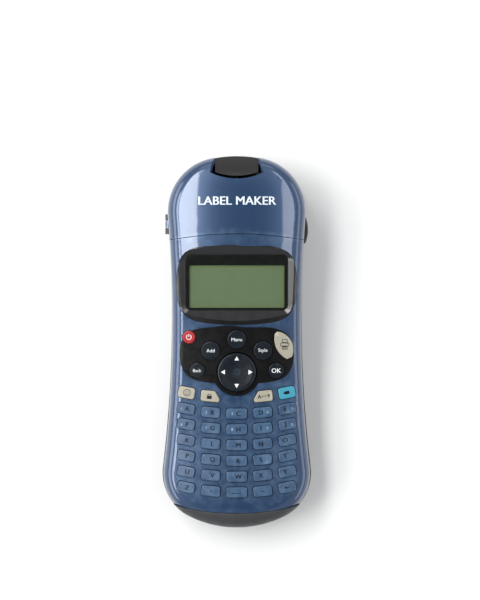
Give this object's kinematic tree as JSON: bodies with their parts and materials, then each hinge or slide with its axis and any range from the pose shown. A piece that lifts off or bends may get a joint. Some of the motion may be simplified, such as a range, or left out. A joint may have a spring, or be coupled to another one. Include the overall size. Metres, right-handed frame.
{
  "type": "hand-held label maker",
  "caption": "Hand-held label maker: waisted casing with a display, a navigation disc, letter keys, an opening cassette head with a label slot, and a side cutter button.",
  "frame": {"origin": "centre of the bounding box at the back face, the object lying on its back", "axes": "+Z out of the front face, +Y towards the label exit, +X to the right of somebody reading the keys"},
  "size_m": [0.0828, 0.2062, 0.0503],
  "materials": {
    "casing_blue": "glossy metallic blue",
    "casing_dark": "satin",
    "bezel_black": "gloss",
    "lens_clear": "clear",
    "display_grey_green": "satin",
    "panel_black": "satin",
    "key_dark": "satin",
    "key_red": "satin",
    "key_white": "satin",
    "key_cyan": "satin",
    "key_blue": "satin",
    "rubber_grey": "matte",
    "roller_rubber": "matte",
    "board_green": "satin",
    "chip_black": "satin",
    "sheet_steel": "brushed",
    "head_ceramic": "satin",
    "cassette_grey": "satin",
    "tape_white": "satin",
    "gear_white": "satin",
    "cell_case": "satin",
    "contact_steel": "bright"
  },
  "bodies": {
    "casing": {"front_shell": "casing_blue", "back_shell": "casing_dark", "display_bezel": "bezel_black", "display_lens": "lens_clear", "display_module": "display_grey_green", "control_panel": "panel_black", "keypad_mat": "rubber_grey", "main_board": "board_green", "board_components": "chip_black", "mechanism_tray": "sheet_steel", "print_head": "head_ceramic", "cassette_case": "cassette_grey", "label_tape": "tape_white", "idler_axle": "sheet_steel", "feed_motor": "sheet_steel", "hinge_pin": "sheet_steel", "door_latch": "sheet_steel", "batteries": "cell_case", "battery_contacts": "contact_steel", "case_screws": "contact_steel", "cutter_spring": "contact_steel"},
    "cassette_door": {"cassette_door": "casing_blue", "exit_guide": "casing_dark"},
    "battery_door": {"battery_door": "casing_dark"},
    "cutter": {"cutter_button": "casing_dark", "cutter_link": "gear_white", "cutter_blade": "sheet_steel"},
    "platen": {"platen_roller": "roller_rubber", "platen_shaft": "sheet_steel", "platen_gear": "gear_white"},
    "idler": {"idler_gear": "gear_white"},
    "pinion": {"motor_pinion": "gear_white"},
    "spool": {"tape_spool": "tape_white"},
    "nav_pivot": {"navigation_pivot": "gear_white"},
    "nav_disc": {"navigation_disc": "key_dark"},
    "power_key": {"power_key": "key_red"},
    "settings_key": {"settings_key": "key_dark"},
    "insert_key": {"insert_key": "key_dark"},
    "format_key": {"format_key": "key_dark"},
    "cancel_key": {"cancel_key": "key_dark"},
    "ok_key": {"ok_key": "key_dark"},
    "print_key": {"print_key": "key_white"},
    "symbol_key": {"symbol_key": "key_white"},
    "lock_key": {"lock_key": "key_white"},
    "numbers_key": {"numbers_key": "key_white"},
    "clear_key": {"clear_key": "key_cyan"},
    "letter_key_a": {"letter_key_a": "key_blue"},
    "letter_key_b": {"letter_key_b": "key_blue"},
    "letter_key_c": {"letter_key_c": "key_blue"},
    "letter_key_d": {"letter_key_d": "key_blue"},
    "letter_key_e": {"letter_key_e": "key_blue"},
    "letter_key_f": {"letter_key_f": "key_blue"},
    "letter_key_g": {"letter_key_g": "key_blue"},
    "letter_key_h": {"letter_key_h": "key_blue"},
    "letter_key_i": {"letter_key_i": "key_blue"},
    "letter_key_j": {"letter_key_j": "key_blue"},
    "letter_keys_k_to_o": {"letter_keys_k_to_o": "key_blue"},
    "letter_keys_p_to_t": {"letter_keys_p_to_t": "key_blue"},
    "letter_keys_u_to_y": {"letter_keys_u_to_y": "key_blue"},
    "letter_keys_z_and_space": {"letter_keys_z_and_space": "key_blue"}
  },
  "joints": [
    {"name": "cassette_door_hinge", "type": "hinge", "parent": "casing", "child": "cassette_door", "pos_m": [-0.0382, 0.0655, 0.022], "axis": [0, -1, 0], "range_deg": [0, 100]},
    {"name": "battery_door_slide", "type": "slide", "parent": "casing", "child": "battery_door", "axis": [0, -1, 0], "range_m": [0, 0.085]},
    {"name": "cutter_press", "type": "slide", "parent": "casing", "child": "cutter", "axis": [-1, 0, 0], "range_m": [0, 0.0035], "stiffness_N_per_m": 800, "deforming": ["cutter_spring"]},
    {"name": "platen_spin", "type": "hinge", "parent": "casing", "child": "platen", "pos_m": [0.0054, 0.08, 0.02], "axis": [0, 0, 1], "continuous": true},
    {"name": "idler_spin", "type": "hinge", "parent": "casing", "child": "idler", "pos_m": [-0.00848, 0.06345, 0.017], "axis": [0, 0, 1], "continuous": true},
    {"name": "pinion_spin", "type": "hinge", "parent": "casing", "child": "pinion", "pos_m": [-0.02424, 0.06067, 0.017], "axis": [0, 0, 1], "continuous": true},
    {"name": "spool_spin", "type": "hinge", "parent": "casing", "child": "spool", "pos_m": [-0.0175, 0.0732, 0.03], "axis": [0, 0, 1], "continuous": true},
    {"name": "navigation_rock_up_down", "type": "hinge", "parent": "casing", "child": "nav_pivot", "pos_m": [0, -0.0163, 0.03573], "axis": [1, 0, 0], "range_deg": [-3, 3], "stiffness_Nm_per_rad": 0.05},
    {"name": "navigation_rock_left_right", "type": "hinge", "parent": "nav_pivot", "child": "nav_disc", "pos_m": [0, -0.0163, 0.03573], "axis": [0, 1, 0], "range_deg": [-3, 3], "stiffness_Nm_per_rad": 0.05},
    {"name": "power_key_press", "type": "slide", "parent": "casing", "child": "power_key", "axis": [0, 0, -1], "range_m": [0, 0.0008], "stiffness_N_per_m": 500},
    {"name": "settings_key_press", "type": "slide", "parent": "casing", "child": "settings_key", "axis": [0, 0, -1], "range_m": [0, 0.0008], "stiffness_N_per_m": 500},
    {"name": "insert_key_press", "type": "slide", "parent": "casing", "child": "insert_key", "axis": [0, 0, -1], "range_m": [0, 0.0008], "stiffness_N_per_m": 500},
    {"name": "format_key_press", "type": "slide", "parent": "casing", "child": "format_key", "axis": [0, 0, -1], "range_m": [0, 0.0008], "stiffness_N_per_m": 500},
    {"name": "cancel_key_press", "type": "slide", "parent": "casing", "child": "cancel_key", "axis": [0, 0, -1], "range_m": [0, 0.0008], "stiffness_N_per_m": 500},
    {"name": "ok_key_press", "type": "slide", "parent": "casing", "child": "ok_key", "axis": [0, 0, -1], "range_m": [0, 0.0008], "stiffness_N_per_m": 500},
    {"name": "print_key_press", "type": "slide", "parent": "casing", "child": "print_key", "axis": [0, 0, -1], "range_m": [0, 0.0008], "stiffness_N_per_m": 500},
    {"name": "symbol_key_press", "type": "slide", "parent": "casing", "child": "symbol_key", "axis": [0, 0, -1], "range_m": [0, 0.0008], "stiffness_N_per_m": 500},
    {"name": "lock_key_press", "type": "slide", "parent": "casing", "child": "lock_key", "axis": [0, 0, -1], "range_m": [0, 0.0008], "stiffness_N_per_m": 500},
    {"name": "numbers_key_press", "type": "slide", "parent": "casing", "child": "numbers_key", "axis": [0, 0, -1], "range_m": [0, 0.0008], "stiffness_N_per_m": 500},
    {"name": "clear_key_press", "type": "slide", "parent": "casing", "child": "clear_key", "axis": [0, 0, -1], "range_m": [0, 0.0008], "stiffness_N_per_m": 500},
    {"name": "letter_key_a_press", "type": "slide", "parent": "casing", "child": "letter_key_a", "axis": [0, 0, -1], "range_m": [0, 0.0008], "stiffness_N_per_m": 500},
    {"name": "letter_key_b_press", "type": "slide", "parent": "casing", "child": "letter_key_b", "axis": [0, 0, -1], "range_m": [0, 0.0008], "stiffness_N_per_m": 500},
    {"name": "letter_key_c_press", "type": "slide", "parent": "casing", "child": "letter_key_c", "axis": [0, 0, -1], "range_m": [0, 0.0008], "stiffness_N_per_m": 500},
    {"name": "letter_key_d_press", "type": "slide", "parent": "casing", "child": "letter_key_d", "axis": [0, 0, -1], "range_m": [0, 0.0008], "stiffness_N_per_m": 500},
    {"name": "letter_key_e_press", "type": "slide", "parent": "casing", "child": "letter_key_e", "axis": [0, 0, -1], "range_m": [0, 0.0008], "stiffness_N_per_m": 500},
    {"name": "letter_key_f_press", "type": "slide", "parent": "casing", "child": "letter_key_f", "axis": [0, 0, -1], "range_m": [0, 0.0008], "stiffness_N_per_m": 500},
    {"name": "letter_key_g_press", "type": "slide", "parent": "casing", "child": "letter_key_g", "axis": [0, 0, -1], "range_m": [0, 0.0008], "stiffness_N_per_m": 500},
    {"name": "letter_key_h_press", "type": "slide", "parent": "casing", "child": "letter_key_h", "axis": [0, 0, -1], "range_m": [0, 0.0008], "stiffness_N_per_m": 500},
    {"name": "letter_key_i_press", "type": "slide", "parent": "casing", "child": "letter_key_i", "axis": [0, 0, -1], "range_m": [0, 0.0008], "stiffness_N_per_m": 500},
    {"name": "letter_key_j_press", "type": "slide", "parent": "casing", "child": "letter_key_j", "axis": [0, 0, -1], "range_m": [0, 0.0008], "stiffness_N_per_m": 500},
    {"name": "letter_keys_k_to_o_press", "type": "slide", "parent": "casing", "child": "letter_keys_k_to_o", "axis": [0, 0, -1], "range_m": [0, 0.0008], "stiffness_N_per_m": 500},
    {"name": "letter_keys_p_to_t_press", "type": "slide", "parent": "casing", "child": "letter_keys_p_to_t", "axis": [0, 0, -1], "range_m": [0, 0.0008], "stiffness_N_per_m": 500},
    {"name": "letter_keys_u_to_y_press", "type": "slide", "parent": "casing", "child": "letter_keys_u_to_y", "axis": [0, 0, -1], "range_m": [0, 0.0008], "stiffness_N_per_m": 500},
    {"name": "letter_keys_z_and_space_press", "type": "slide", "parent": "casing", "child": "letter_keys_z_and_space", "axis": [0, 0, -1], "range_m": [0, 0.0008], "stiffness_N_per_m": 500}
  ],
  "couplings": [
    {"joint": "idler_spin", "follows": "platen_spin", "ratio": -0.8},
    {"joint": "pinion_spin", "follows": "platen_spin", "ratio": 2.4},
    {"joint": "spool_spin", "follows": "platen_spin", "ratio": -0.4386}
  ]
}
